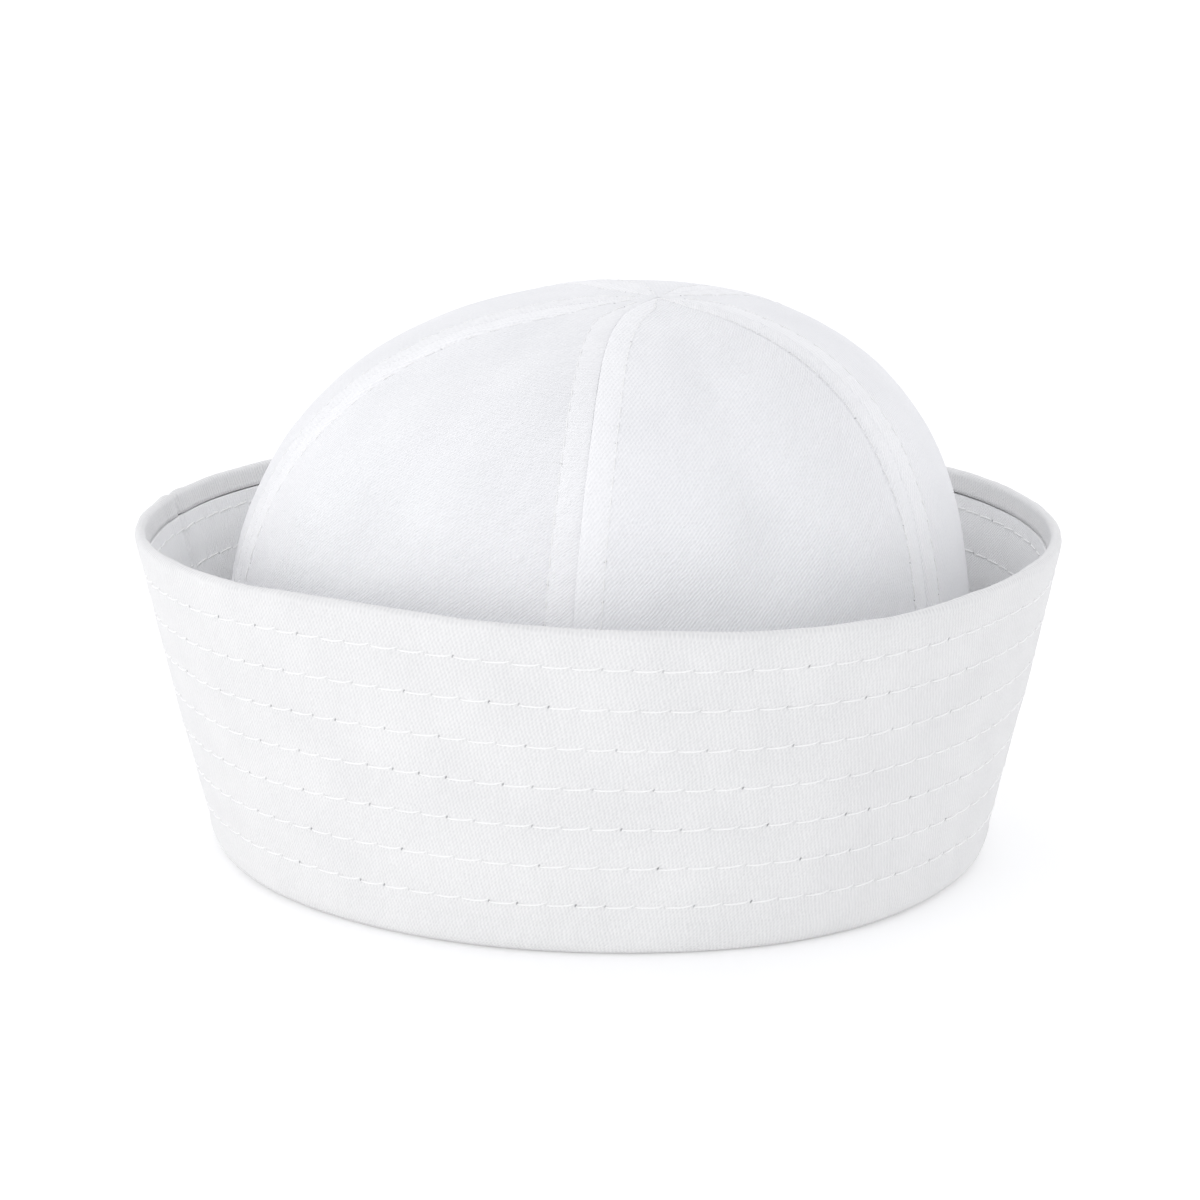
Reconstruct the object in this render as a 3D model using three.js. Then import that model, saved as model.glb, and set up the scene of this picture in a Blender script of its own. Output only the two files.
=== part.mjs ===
// A white cotton sailor cap, resting on the bottom fold of its turned-up cuff.
// Millimetres, +Z up. Angles are degrees around the cap, from its front (-Y) towards +X.
import * as THREE from "three";
import { mergeVertices } from "three/addons/utils/BufferGeometryUtils.js";

// Cloth
const CUFF_PLY = 1.3;      // each of the two plies of the cuff
const CROWN_PLY = 1.5;     // a gore of the crown
const SEAM_GAP = 0.35;     // between two pieces that a seam joins

// Cuff: radius of its bottom fold, radius and height of its rim
const CUFF_STATIONS = [
  { around: 0, fold_radius: 97.5, rim_radius: 110.5, rim_height: 80.5 },
  { around: 30, fold_radius: 100.5, rim_radius: 112, rim_height: 78.5 },
  { around: 60, fold_radius: 98.5, rim_radius: 112.5, rim_height: 79.5 },
  { around: 90, fold_radius: 97.2, rim_radius: 113.7, rim_height: 79.5 },
  { around: 120, fold_radius: 96.5, rim_radius: 113.5, rim_height: 80 },
  { around: 150, fold_radius: 97, rim_radius: 112.5, rim_height: 80 },
  { around: 180, fold_radius: 97, rim_radius: 112.5, rim_height: 80.5 },
  { around: 210, fold_radius: 97, rim_radius: 113, rim_height: 80.5 },
  { around: 240, fold_radius: 97.5, rim_radius: 114, rim_height: 81 },
  { around: 270, fold_radius: 98, rim_radius: 114.7, rim_height: 80.5 },
  { around: 300, fold_radius: 95.5, rim_radius: 112.5, rim_height: 81.5 },
  { around: 330, fold_radius: 95.5, rim_radius: 110.5, rim_height: 83 },
];
const CUFF_STEPS = 64;     // sections of the cuff around the cap
const TURN_STEPS = 3;      // steps round its bottom fold
const WALL_STEPS = 5;      // steps up its wall
const FOLD_HEIGHT = 8.3;   // the bottom fold turns up into the wall here
const FOLD_OUTER = 5.2;    // the fold's flat underside starts this far inside its outer face
const FOLD_FLAT = 2.4;     // width of the flat underside, which ends at the crown's seam
const RIM_TURN = 4;        // the outer ply turns down inside the rim by this much
const WALL_BELLY = 0.96;   // exponent of the wall's flare: under 1 bellies out

// Crown
const CROWN_RADIUS = 92.8; // outer face, above the cuff's fold
const CROWN_HEIGHT = 138.2;
const CROWN_OFFSET = new THREE.Vector2(-1.3, 0);  // centre of its foot from the cuff's
const CROWN_LEAN = new THREE.Vector2(8.9, 0);     // shift of its top from its foot
const LEAN_POWER = 3;      // the lean grows with this power of the height
const DOME_RISE = 4;       // exponents of the dome's profile
const DOME_ROUND = 2.05;
const CROWN_FOOT = 2 * (CUFF_PLY + SEAM_GAP) + 0.1;  // stands on the fold of both plies
const FOOT_INSET = 0.6;    // crown's foot stands this far in from the fold's flat
const HEM_BLEND = 36;      // the crown has its own round shape above this height
const TIP_RADIUS = 1.6;    // where the gores' tips meet
const TIP_RIGHT = 2.7;     // the tips meet this far off the dome's top, as angles over the dome
const TIP_FORWARD = 5;
const GORE_COLUMNS = 9;
const GORE_ROWS = 13;      // rows of corners from a gore's foot to its tip
const GORE_PUFF = 1.4;     // middle of a gore stands out by this much from its seams

// Seams of the crown, at its foot and at its top, and the gore that follows each
const SEAM_TURN = 6;       // a seam turns from its foot's angle to its top's with this power of the rise
const SEAMS = [
  { gore: "crown_gore_front_right", foot: -4, top: -41 },
  { gore: "crown_gore_right", foot: 60, top: 84 },
  { gore: "crown_gore_back_right", foot: 134, top: 142 },
  { gore: "crown_gore_back_left", foot: 207, top: 213 },
  { gore: "crown_gore_front_left", foot: 284, top: 285 },
];

// Soft dents of the crown: a valley from one place to another, and its width and depth
const DENTS = [
  { around: -33, height: 126, to_around: -40, to_height: 92, width: 11, depth: 1.6 },
  { around: 20, height: 128, to_around: 27, to_height: 96, width: 10, depth: 1.4 },
  { around: 28, height: 84, to_around: 12, to_height: 78, width: 9, depth: 1.2 },
  { around: 50, height: 92, to_around: 46, to_height: 84, width: 10, depth: -1.0 },
  { around: -62, height: 104, to_around: -58, to_height: 94, width: 10, depth: -1.0 },
];

const cuffColour = { color: 0xf6f6f4, roughness: 0.92, metalness: 0 };
const facingColour = { color: 0xe9eaea, roughness: 0.92, metalness: 0 };
const crownColour = { color: 0xf8f8f6, roughness: 0.92, metalness: 0 };

const radians = THREE.MathUtils.degToRad;
const radial = (angle) => new THREE.Vector2(Math.sin(radians(angle)), -Math.cos(radians(angle)));

// A column of the cuff's stations at any angle, on a closed Catmull-Rom curve.
function cuffValue(column, angle) {
  const count = CUFF_STATIONS.length;
  const place = THREE.MathUtils.euclideanModulo(angle, 360) / (360 / count);
  const index = Math.floor(place);
  const [a, b, c, d] = [-1, 0, 1, 2].map((step) => CUFF_STATIONS[(index + step + count) % count][column]);
  const t = place - index;
  const slopeB = (c - a) / 2;
  const slopeC = (d - b) / 2;
  return b + slopeB * t + (3 * (c - b) - 2 * slopeB - slopeC) * t ** 2
    + (2 * (b - c) + slopeB + slopeC) * t ** 3;
}

// Middle line of a ply of the cuff in a section (x is the radius, y the height), from its edge
// under the crown, round the bottom fold to the wall's foot. The facing lies inside the outer ply.
function foldLine(angle, depth) {
  const fold = cuffValue("fold_radius", angle);
  const inset = CUFF_PLY / 2 + depth;
  const flatIn = new THREE.Vector2(fold - FOLD_OUTER - FOLD_FLAT, inset);
  const flatOut = new THREE.Vector2(fold - FOLD_OUTER, inset);
  const wallFoot = new THREE.Vector2(fold - inset, FOLD_HEIGHT);
  const turn = [];
  for (let i = 1; i < TURN_STEPS; i += 1) {
    const angleUp = (i / TURN_STEPS) * Math.PI / 2;
    turn.push(new THREE.Vector2(
      THREE.MathUtils.lerp(flatOut.x, wallFoot.x, Math.sin(angleUp)),
      THREE.MathUtils.lerp(flatOut.y, wallFoot.y, 1 - Math.cos(angleUp)),
    ));
  }
  return [flatIn, flatOut, ...turn, wallFoot];
}

// The wall's middle line from the fold to a stated distance short of the rim.
function wallLine(angle, depth, short) {
  const foot = cuffValue("fold_radius", angle);
  const rim = cuffValue("rim_radius", angle);
  const top = cuffValue("rim_height", angle) - short;
  const rise = cuffValue("rim_height", angle) - FOLD_HEIGHT;
  const points = [];
  for (let i = 1; i <= WALL_STEPS; i += 1) {
    const height = THREE.MathUtils.lerp(FOLD_HEIGHT, top, i / WALL_STEPS);
    const flare = ((height - FOLD_HEIGHT) / rise) ** WALL_BELLY;
    points.push(new THREE.Vector2(foot + (rim - foot) * flare - CUFF_PLY / 2 - depth, height));
  }
  return points;
}

// The closed outline of a ply: its middle line moved half its thickness to each side, so that
// every straight stretch keeps the full thickness.
function plyOutline(line, thickness) {
  const normals = line.slice(1).map((point, i) => {
    const along = point.clone().sub(line[i]).normalize();
    return new THREE.Vector2(along.y, -along.x);
  });
  const side = (sign) => line.map((point, i) => {
    const before = normals[Math.max(i - 1, 0)];
    const after = normals[Math.min(i, normals.length - 1)];
    const middle = before.clone().add(after).normalize();
    return point.clone().addScaledVector(middle, sign * thickness / 2 / middle.dot(after));
  });
  return [...side(1), ...side(-1).reverse()];
}

// Outer ply: up the outside of the cuff, over the rolled rim and a little way down inside it.
function outerPly(angle) {
  const spacing = CUFF_PLY + SEAM_GAP;
  const line = [...foldLine(angle, 0), ...wallLine(angle, 0, spacing)];
  const top = line[line.length - 1];
  const up = top.clone().sub(line[line.length - 2]).normalize();
  const inward = new THREE.Vector2(-up.y, up.x);
  const centre = top.clone().addScaledVector(inward, spacing / 2);
  for (const turn of [60, 120, 180]) {
    const across = -Math.cos(radians(turn)) * spacing / 2;
    const above = Math.sin(radians(turn)) * spacing / 2;
    line.push(centre.clone().addScaledVector(inward, across).addScaledVector(up, above));
  }
  line.push(line[line.length - 1].clone().addScaledVector(up, -RIM_TURN));
  return plyOutline(line, CUFF_PLY);
}

// Facing: the ply inside the cuff, from its edge under the crown to the outer ply's turned edge.
function facingPly(angle) {
  const depth = CUFF_PLY + SEAM_GAP;
  const short = depth + RIM_TURN + SEAM_GAP + CUFF_PLY;
  return plyOutline([...foldLine(angle, depth), ...wallLine(angle, depth, short)], CUFF_PLY);
}

function meshFromQuads(name, quads, colour) {
  const corners = quads.flatMap(([a, b, c, d]) => [a, b, c, a, c, d]);
  const loose = new THREE.BufferGeometry().setFromPoints(corners);
  const mesh = new THREE.Mesh(mergeVertices(loose, 1e-4), new THREE.MeshStandardMaterial(colour));
  mesh.name = name;
  return mesh;
}

// A ring whose section is given at every angle.
function ringMesh(name, outlineAt, colour) {
  const sections = Array.from({ length: CUFF_STEPS }, (_, i) => {
    const angle = (360 * i) / CUFF_STEPS;
    const out = radial(angle);
    return outlineAt(angle).map((point) => new THREE.Vector3(out.x * point.x, out.y * point.x, point.y));
  });
  const quads = [];
  sections.forEach((section, i) => {
    const next = sections[(i + 1) % sections.length];
    section.forEach((corner, j) => {
      const k = (j + 1) % section.length;
      quads.push([corner, next[j], next[k], section[k]]);
    });
  });
  return meshFromQuads(name, quads, colour);
}

// How far the dents draw a place of the crown in.
function dentDepth(angle, height) {
  let depth = 0;
  for (const dent of DENTS) {
    const toArc = radians(CROWN_RADIUS);
    const start = new THREE.Vector2(dent.around * toArc, dent.height);
    const end = new THREE.Vector2(dent.to_around * toArc, dent.to_height);
    const turned = THREE.MathUtils.euclideanModulo(angle + 180, 360) - 180;
    const place = new THREE.Vector2(turned * toArc, height);
    const span = end.clone().sub(start);
    const along = THREE.MathUtils.clamp(place.clone().sub(start).dot(span) / span.lengthSq(), 0, 1);
    const away = place.distanceTo(start.addScaledVector(span, along));
    depth += dent.depth * Math.exp(-((away / dent.width) ** 2));
  }
  return depth;
}

// A place on a gore, given round the cap and up the gore, as a place on the dome. The two differ
// more and more towards the top, because the gores' tips don't meet on the dome's own top.
function placeOnDome(around, rise) {
  const climb = rise * Math.PI / 2;
  const out = radial(around);
  const direction = new THREE.Vector3(out.x * Math.cos(climb), out.y * Math.cos(climb), Math.sin(climb));
  const tip = new THREE.Vector3(radians(TIP_RIGHT), -radians(TIP_FORWARD), 0);
  direction.addScaledVector(tip, Math.sin(climb) ** 8).normalize();
  const angle = THREE.MathUtils.radToDeg(Math.atan2(direction.x, -direction.y));
  return { angle, level: direction.z };
}

// Outer face of the crown. Rise runs from 0 at the crown's foot to 1 where the tips meet.
function crownPoint(around, rise, puff) {
  const { angle, level } = placeOnDome(around, rise);
  const height = CROWN_HEIGHT * level;
  const round = (1 - level ** DOME_RISE) ** (1 / DOME_ROUND);
  const out = radial(angle);
  const radius = (CROWN_RADIUS - dentDepth(angle, height) + GORE_PUFF * (puff - 0.5)) * round;
  const dome = CROWN_OFFSET.clone().addScaledVector(CROWN_LEAN, level ** LEAN_POWER)
    .addScaledVector(out, radius);
  const foot = out.clone().multiplyScalar(cuffValue("fold_radius", angle) - FOLD_OUTER - FOOT_INSET);
  const place = foot.lerp(dome, THREE.MathUtils.smoothstep(height, CROWN_FOOT, HEM_BLEND));
  return new THREE.Vector3(place.x, place.y, height);
}

// Rises of a gore's rows, a little closer together towards the tip.
function goreRises() {
  const foot = Math.asin(CROWN_FOOT / CROWN_HEIGHT) * 2 / Math.PI;
  const tipRound = (TIP_RADIUS / CROWN_RADIUS) ** DOME_ROUND;
  const tip = Math.asin((1 - tipRound) ** (1 / DOME_RISE)) * 2 / Math.PI;
  return Array.from({ length: GORE_ROWS }, (_, i) => (
    THREE.MathUtils.lerp(foot, tip, 1 - (1 - i / (GORE_ROWS - 1)) ** 1.2)
  ));
}

// One gore between two seams: its outer face, its inner face one ply behind, and its four edges.
function goreMesh(seam, nextSeam) {
  const outer = [];
  const inner = [];
  const turn = nextSeam.foot < seam.foot ? 360 : 0;
  for (const rise of goreRises()) {
    const from = THREE.MathUtils.lerp(seam.foot, seam.top, rise ** SEAM_TURN);
    const to = THREE.MathUtils.lerp(nextSeam.foot, nextSeam.top, rise ** SEAM_TURN) + turn;
    const level = Math.sin(rise * Math.PI / 2);
    const radius = CROWN_RADIUS * (1 - level ** DOME_RISE) ** (1 / DOME_ROUND);
    const margin = THREE.MathUtils.radToDeg(Math.asin(SEAM_GAP / 2 / radius));
    const outerRow = [];
    const innerRow = [];
    for (let i = 0; i < GORE_COLUMNS; i += 1) {
      const across = i / (GORE_COLUMNS - 1);
      const angle = THREE.MathUtils.lerp(from + margin, to - margin, across);
      const puff = Math.sin(across * Math.PI) ** 0.7;
      const nudge = 0.004;
      const point = crownPoint(angle, rise, puff);
      const aside = crownPoint(angle + 1, rise, puff).sub(crownPoint(angle - 1, rise, puff));
      const above = crownPoint(angle, Math.min(rise + nudge, 0.999), puff)
        .sub(crownPoint(angle, rise - nudge, puff));
      const inward = above.cross(aside).normalize();
      outerRow.push(point);
      innerRow.push(point.clone().addScaledVector(inward, CROWN_PLY));
    }
    outer.push(outerRow);
    inner.push(innerRow);
  }
  const quads = [];
  const last = outer.length - 1;
  const end = GORE_COLUMNS - 1;
  for (let row = 0; row < last; row += 1) {
    for (let i = 0; i < end; i += 1) {
      quads.push([outer[row][i], outer[row][i + 1], outer[row + 1][i + 1], outer[row + 1][i]]);
      quads.push([inner[row][i], inner[row + 1][i], inner[row + 1][i + 1], inner[row][i + 1]]);
    }
    quads.push([outer[row][0], outer[row + 1][0], inner[row + 1][0], inner[row][0]]);
    quads.push([outer[row + 1][end], outer[row][end], inner[row][end], inner[row + 1][end]]);
  }
  for (let i = 0; i < end; i += 1) {
    quads.push([outer[0][i + 1], outer[0][i], inner[0][i], inner[0][i + 1]]);
    quads.push([outer[last][i], outer[last][i + 1], inner[last][i + 1], inner[last][i]]);
  }
  return meshFromQuads(seam.gore, quads, crownColour);
}

const cap = new THREE.Group();
cap.add(ringMesh("cuff_outer", outerPly, cuffColour));
cap.add(ringMesh("cuff_facing", facingPly, facingColour));
SEAMS.forEach((seam, i) => cap.add(goreMesh(seam, SEAMS[(i + 1) % SEAMS.length])));

// The origin is on the ground, under the middle of the cap's box.
const box = new THREE.Box3().setFromObject(cap);
const middle = box.getCenter(new THREE.Vector3());
cap.position.set(-middle.x, -middle.y, -box.min.z);

export default cap;
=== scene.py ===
import math

import bmesh
import bpy
import numpy as np
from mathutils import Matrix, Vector, noise


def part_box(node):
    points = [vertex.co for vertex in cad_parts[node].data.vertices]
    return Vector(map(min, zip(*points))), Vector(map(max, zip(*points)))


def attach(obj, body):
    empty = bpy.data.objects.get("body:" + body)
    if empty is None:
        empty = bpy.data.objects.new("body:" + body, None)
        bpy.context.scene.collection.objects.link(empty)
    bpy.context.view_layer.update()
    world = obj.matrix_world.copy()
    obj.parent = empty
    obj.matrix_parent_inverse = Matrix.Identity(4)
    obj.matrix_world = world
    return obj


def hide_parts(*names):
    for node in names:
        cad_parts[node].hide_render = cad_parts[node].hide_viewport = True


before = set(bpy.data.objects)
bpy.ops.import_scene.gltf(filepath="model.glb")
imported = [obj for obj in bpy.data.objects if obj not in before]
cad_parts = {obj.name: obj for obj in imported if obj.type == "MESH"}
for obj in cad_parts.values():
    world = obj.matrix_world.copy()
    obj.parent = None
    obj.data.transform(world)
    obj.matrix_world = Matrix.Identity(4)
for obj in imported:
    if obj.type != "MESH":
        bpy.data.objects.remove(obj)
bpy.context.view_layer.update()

MM = 0.001


# ---- Studio ----
# A pale floor that sweeps up into a backdrop, a camera a little above the cap's rim, and soft
# light: a pale sky all round, a low lamp at the front left and two weak ones behind.
CAMERA_TARGET = Vector((0.5, -1.0, 59.8)) * MM
CAMERA_DISTANCE = 959 * MM
CAMERA_ABOVE = math.radians(14)
SENSOR = 36
LENS = 116.2

camera_data = bpy.data.cameras.new("camera")
camera_data.sensor_width = SENSOR
camera_data.lens = LENS
camera = bpy.data.objects.new("camera", camera_data)
toward_camera = Vector((0, -math.cos(CAMERA_ABOVE), math.sin(CAMERA_ABOVE)))
camera.location = CAMERA_TARGET + toward_camera * CAMERA_DISTANCE
camera.rotation_euler = (math.pi / 2 - CAMERA_ABOVE, 0, 0)
bpy.context.scene.collection.objects.link(camera)
bpy.context.scene.camera = camera


LAMP_SIZE = 1.0
LAMP_COLOUR = (1.0, 0.995, 0.99)
SKY_COLOUR = (0.972, 0.976, 1.0, 1)
SKY_STRENGTH = 0.925


def add_lamp(name, place, power):
    """A square lamp at a place in metres, of a power in watts, that faces the cap."""
    lamp_data = bpy.data.lights.new(name, "AREA")
    lamp_data.shape = "SQUARE"
    lamp_data.size = LAMP_SIZE
    lamp_data.energy = power
    lamp_data.color = LAMP_COLOUR
    lamp = bpy.data.objects.new(name, lamp_data)
    lamp.location = place
    lamp.rotation_euler = (CAMERA_TARGET - lamp.location).to_track_quat("-Z", "Y").to_euler()
    bpy.context.scene.collection.objects.link(lamp)


add_lamp("window", Vector((-1.30, -1.09, 0.18)), 6.2)
add_lamp("right", Vector((1.03, 0.86, 1.10)), 1.2)
add_lamp("left", Vector((-1.10, 0.77, 1.10)), 1.0)

sky = bpy.data.worlds.new("sky")
sky.use_nodes = True
sky.node_tree.nodes["Background"].inputs["Color"].default_value = SKY_COLOUR
sky.node_tree.nodes["Background"].inputs["Strength"].default_value = SKY_STRENGTH
bpy.context.scene.world = sky
bpy.context.scene.view_settings.view_transform = "Standard"

FLOOR_HALF = 2.5
SWEEP_RADIUS = 1.0
SWEEP_STEPS = 24
floor_profile = [(-FLOOR_HALF, 0)]
for step in range(SWEEP_STEPS + 1):
    turn = math.pi / 2 * step / SWEEP_STEPS
    floor_profile.append((FLOOR_HALF + SWEEP_RADIUS * math.sin(turn), SWEEP_RADIUS * (1 - math.cos(turn))))
floor_profile.append((FLOOR_HALF + SWEEP_RADIUS, 2 * FLOOR_HALF))
floor_points = [(x, y, z) for y, z in floor_profile for x in (-2 * FLOOR_HALF, 2 * FLOOR_HALF)]
floor_faces = [(2 * i, 2 * i + 1, 2 * i + 3, 2 * i + 2) for i in range(len(floor_profile) - 1)]
floor_mesh = bpy.data.meshes.new("floor")
floor_mesh.from_pydata(floor_points, [], floor_faces)
floor_mesh.shade_smooth()
floor = bpy.data.objects.new("floor", floor_mesh)
bpy.context.scene.collection.objects.link(floor)
paper = bpy.data.materials.new("white_paper")
paper.use_nodes = True
paper_surface = paper.node_tree.nodes["Principled BSDF"]
paper_surface.inputs["Base Color"].default_value = (0.96, 0.96, 0.96, 1)
paper_surface.inputs["Roughness"].default_value = 0.9
paper_surface.inputs["Emission Color"].default_value = (1, 1, 1, 1)
paper_surface.inputs["Emission Strength"].default_value = 0.14
floor_mesh.materials.append(paper)


# ---- Outer ply of the cuff ----
# The turned-up band's outer layer of cotton twill. It starts under the crown's seam, turns up
# round the bottom fold, and is rolled over the rim. Rows of stitching quilt it to the facing.
CUFF_PLY = 1.3
SEAM_GAP = 0.35
PLY_SPACING = CUFF_PLY + SEAM_GAP
FOLD_HEIGHT = 8.3          # the bottom fold turns up into the wall here
FOLD_OUTER = 5.2
FOLD_FLAT = 2.4
RIM_TURN = 4               # the outer ply turns down inside the rim by this much
WALL_BELLY = 0.96
STATION_STEP = 30          # degrees between the widths and heights below
FOLD_RADIUS = [97.5, 100.5, 98.5, 97.2, 96.5, 97, 97, 97, 97.5, 98, 95.5, 95.5]
RIM_RADIUS = [110.5, 112, 112.5, 113.7, 113.5, 112.5, 112.5, 113, 114, 114.7, 112.5, 110.5]
RIM_HEIGHT = [80.5, 78.5, 79.5, 79.5, 80, 80, 80.5, 80.5, 81, 80.5, 81.5, 83]
CUFF_COLUMNS = 620
CUFF_SEAM = 255            # the band's ends are sewn together here, at the back left
WALL_SPAN = 72             # the wall's usual height from its fold to its rim
QUILT_ROWS = 7
FIRST_ROW = 0.870          # share of the wall's height at the top row, and from row to row
ROW_STEP = 0.1345
QUILT_STITCH = 6.75
WARP_ANGLE = 101           # the twill's warp yarns lean a little to the left
WARP_PITCH = 0.95
TWILL_ANGLE = 46           # and its diagonal rises to the right
TWILL_PITCH = 0.72
FAR_FROM_STITCHES = 99
GROOVE_DEPTH = 0.02        # along a row of quilting
GATHER_DEPTH = 0.05        # the cloth rises this much between a row's needle holes
DIMPLE_DEPTH = 0.20        # round a needle hole
PUFF_HEIGHT = 0.09         # halfway between two rows


def around_cuff(values, angles):
    """A width or height of the cuff at any angles, on a smooth closed curve through the values."""
    values = np.array(values, float)
    place = np.mod(angles, 360) / STATION_STEP
    index = np.floor(place).astype(int)
    t = place - index
    a, b, c, d = (values[(index + step) % len(values)] for step in (-1, 0, 1, 2))
    slope_b, slope_c = (c - a) / 2, (d - b) / 2
    bend = 3 * (c - b) - 2 * slope_b - slope_c
    return b + slope_b * t + bend * t ** 2 + (2 * (b - c) + slope_b + slope_c) * t ** 3


def on_ring(angles, radii, heights):
    turn = np.radians(angles)
    return np.stack([radii * np.sin(turn), -radii * np.cos(turn), heights + 0 * turn], -1)


def on_wall(angles, heights, depth):
    """Points of the cuff's wall, this far in from its outer face."""
    fold = around_cuff(FOLD_RADIUS, angles)
    flare = around_cuff(RIM_RADIUS, angles) - fold
    rise = around_cuff(RIM_HEIGHT, angles) - FOLD_HEIGHT
    share = np.clip((heights - FOLD_HEIGHT) / rise, 0, 1)
    return on_ring(angles, fold + flare * share ** WALL_BELLY - depth, heights)


def wall_height(angles, share):
    return FOLD_HEIGHT + share * (around_cuff(RIM_HEIGHT, angles) - FOLD_HEIGHT)


def run_along(line):
    """Distance along a line of points from its start to each point."""
    steps = np.linalg.norm(np.diff(line, axis=0), axis=1)
    return np.concatenate([[0], np.cumsum(steps)])


quilt_shares = FIRST_ROW - ROW_STEP * np.arange(QUILT_ROWS)
once_round = CUFF_SEAM + np.linspace(0, 360, 1441)
quilt_runs = [run_along(on_wall(once_round, wall_height(once_round, share), 0)) for share in quilt_shares]
quilt_counts = [round(run[-1] / QUILT_STITCH) for run in quilt_runs]


def quilt_phase(row, angles):
    """Stitches from the start of a row to these angles; its needle holes are at whole numbers."""
    run = quilt_runs[row]
    return np.interp(angles, once_round, run) / run[-1] * quilt_counts[row] + 1000.37 * row


def quilt_relief(shares, angles):
    """How far the quilting moves the cloth out of its smooth face, over rows and columns."""
    away = [(shares - share) * WALL_SPAN for share in quilt_shares]
    relief = np.zeros((len(shares), len(angles)))
    for row in range(QUILT_ROWS):
        phase = quilt_phase(row, angles)
        from_hole = (phase - np.round(phase)) * QUILT_STITCH
        groove = GROOVE_DEPTH * np.exp(-(away[row] / 1.3) ** 2)
        gather = GATHER_DEPTH * np.exp(-(away[row] / 3.0) ** 2)
        dimple = DIMPLE_DEPTH * np.exp(-(away[row] / 0.7) ** 2)
        relief -= groove[:, None]
        relief -= gather[:, None] * np.cos(2 * math.pi * phase)[None, :]
        relief -= dimple[:, None] * np.exp(-(from_hole / 0.85) ** 2)[None, :]
    between_rows = np.sin(math.pi * (FIRST_ROW - shares) / ROW_STEP) ** 2
    relief += PUFF_HEIGHT * np.where((shares > 0.01) & (shares < 0.99), between_rows, 0)[:, None]
    return relief


def soft_noise(points, scale, seed):
    """Smooth noise from -1 to 1 over points, with waves of about this size."""
    shift = Vector((seed * 17.3, seed * -9.1, seed * 5.7))
    places = points.reshape(-1, 3) / scale
    values = [noise.noise(Vector(place) + shift) for place in places]
    return np.array(values).reshape(points.shape[:-1])


def face_normals(grid, closed):
    """Unit normals of a grid whose columns run to the right and whose rows run up."""
    across = np.roll(grid, -1, 1) - np.roll(grid, 1, 1) if closed else np.gradient(grid, axis=1)
    normals = np.cross(across, np.gradient(grid, axis=0))
    return normals / np.maximum(np.linalg.norm(normals, axis=2, keepdims=True), 1e-9)


rim_angles = np.arange(64) * 360 / 64
rim_line = on_wall(rim_angles, wall_height(rim_angles, 1 - PLY_SPACING / WALL_SPAN), 0)
node_low, node_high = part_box("cuff_outer")
node_middle = (np.array(node_low) + np.array(node_high)) / 2 / MM
rim_middle = (rim_line.min(0) + rim_line.max(0)) / 2
CAP_SHIFT = (node_middle - rim_middle) * np.array([1, 1, 0])


def cloth_piece(name, grid, closed_rows, cloth_map, stitch_map, material):
    """A closed piece of cloth from rows of points, each row a closed loop, in millimetres."""
    rows, columns = grid.shape[:2]
    face_rows = rows if closed_rows else rows - 1
    r, c = np.meshgrid(np.arange(face_rows), np.arange(columns), indexing="ij")
    corner_r = np.stack([r, r, r + 1, r + 1], -1)
    corner_c = np.stack([c, c + 1, c + 1, c], -1)
    corners = (corner_r % rows) * columns + corner_c % columns
    faces = corners.reshape(-1, 4).tolist()
    cloth_uv = cloth_map(corner_r, corner_c).reshape(-1, 2)
    stitch_uv = stitch_map(r[..., None], corner_r, corner_c).reshape(-1, 2)
    if not closed_rows:
        half = columns // 2
        last = (rows - 1) * columns
        for i in range(half - 1):
            faces.append([i + 1, i, columns - 1 - i, columns - 2 - i])
            faces.append([last + i, last + i + 1, last + columns - 2 - i, last + columns - 1 - i])
        blank = np.zeros((8 * (half - 1), 2))
        cloth_uv = np.concatenate([cloth_uv, blank])
        stitch_uv = np.concatenate([stitch_uv, blank + FAR_FROM_STITCHES])
    mesh = bpy.data.meshes.new(name)
    mesh.from_pydata(((grid + CAP_SHIFT) * MM).reshape(-1, 3).tolist(), [], faces)
    mesh.uv_layers.new(name="cloth").data.foreach_set("uv", cloth_uv.ravel())
    mesh.uv_layers.new(name="stitches").data.foreach_set("uv", stitch_uv.ravel())
    mesh.shade_smooth()
    mesh.materials.append(material)
    piece = bpy.data.objects.new(name, mesh)
    bpy.context.scene.collection.objects.link(piece)
    return piece


def node_value(nodes, links, operation, first, second=0.0):
    """One arithmetic node; each of its two values is a number or another node's output."""
    node = nodes.new("ShaderNodeMath")
    node.operation = operation
    for socket, value in zip(node.inputs, (first, second)):
        if isinstance(value, bpy.types.NodeSocket):
            links.new(value, socket)
        else:
            socket.default_value = value
    return node.outputs[0]


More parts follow.
